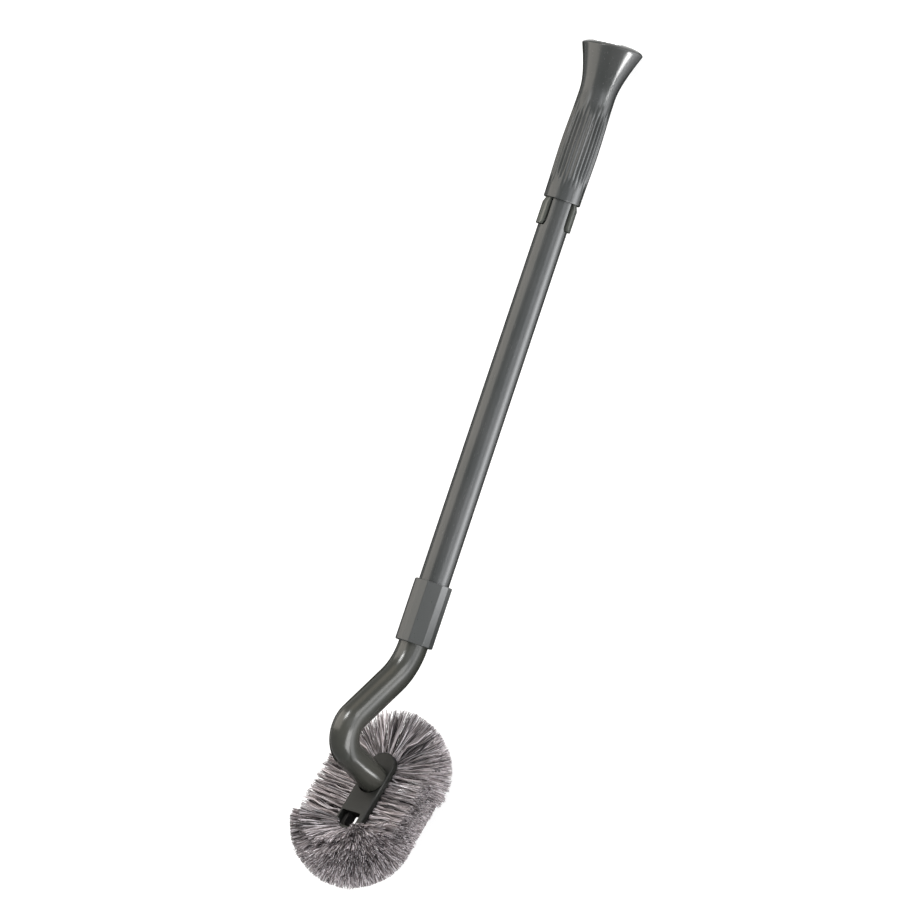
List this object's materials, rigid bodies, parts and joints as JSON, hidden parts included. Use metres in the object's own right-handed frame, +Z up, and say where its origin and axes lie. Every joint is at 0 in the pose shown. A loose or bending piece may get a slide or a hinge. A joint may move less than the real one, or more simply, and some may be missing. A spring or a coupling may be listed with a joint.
{
  "type": "long-handled toilet brush",
  "caption": "Toilet brush with a flared fluted grip, slim pole, faceted twist collar, gooseneck and an oval head of radiating filament tufts.",
  "frame": {"origin": "middle of the brush's footprint, on the floor that it lies on", "axes": "+X along the brush towards the grip, +Z up, and the gooseneck's plane is the XZ plane"},
  "size_m": [0.557, 0.0826, 0.092],
  "materials": {
    "grip_plastic": "satin moulded plastic",
    "cap_plastic": "satin moulded plastic",
    "tab_plastic": "satin moulded plastic",
    "pole_plastic": "satin moulded plastic",
    "collar_plastic": "satin moulded plastic",
    "neck_plastic": "polished moulded plastic",
    "plate_plastic": "matt moulded plastic",
    "inner_plastic": "matt moulded plastic",
    "seal_rubber": "soft rubber",
    "screw_steel": "plated steel",
    "bristle_filament": "plastic filament"
  },
  "bodies": {
    "brush_body": {"grip_shell": "grip_plastic", "grip_end_cap": "cap_plastic", "grip_liner": "inner_plastic", "latch_carrier": "inner_plastic", "pole": "pole_plastic", "pole_socket": "inner_plastic", "collet_ring": "inner_plastic", "seal_ring": "seal_rubber", "neck_tube": "neck_plastic", "head_plate": "plate_plastic", "neck_screw": "screw_steel", "block_screw_1": "screw_steel", "block_screw_2": "screw_steel", "block_screw_3": "screw_steel", "block_screw_4": "screw_steel", "bristle_block": "plate_plastic", "bristles_left": "bristle_filament", "bristles_right": "bristle_filament", "bristles_heel": "bristle_filament", "bristles_toe": "bristle_filament", "bristles_under": "bristle_filament"},
    "left_tab": {"release_tab_left": "tab_plastic"},
    "right_tab": {"release_tab_right": "tab_plastic"},
    "collar": {"lock_collar": "collar_plastic"}
  },
  "joints": [
    {"name": "left_tab_press", "type": "hinge", "parent": "brush_body", "child": "left_tab", "pos_m": [0.21, 0.0041, 0.02764], "axis": [0.0419, -0.7071, 0.7059], "range_deg": [0, 0.95], "stiffness_Nm_per_rad": 6},
    {"name": "right_tab_press", "type": "hinge", "parent": "brush_body", "child": "right_tab", "pos_m": [0.20952, -0.0041, 0.01945], "axis": [-0.0419, 0.7071, -0.7059], "range_deg": [0, 0.95], "stiffness_Nm_per_rad": 6},
    {"name": "collar_twist", "type": "hinge", "parent": "brush_body", "child": "collar", "pos_m": [-0.10124, 0, 0.04201], "axis": [0.9982, 0, -0.0593], "range_deg": [0, 90]}
  ]
}
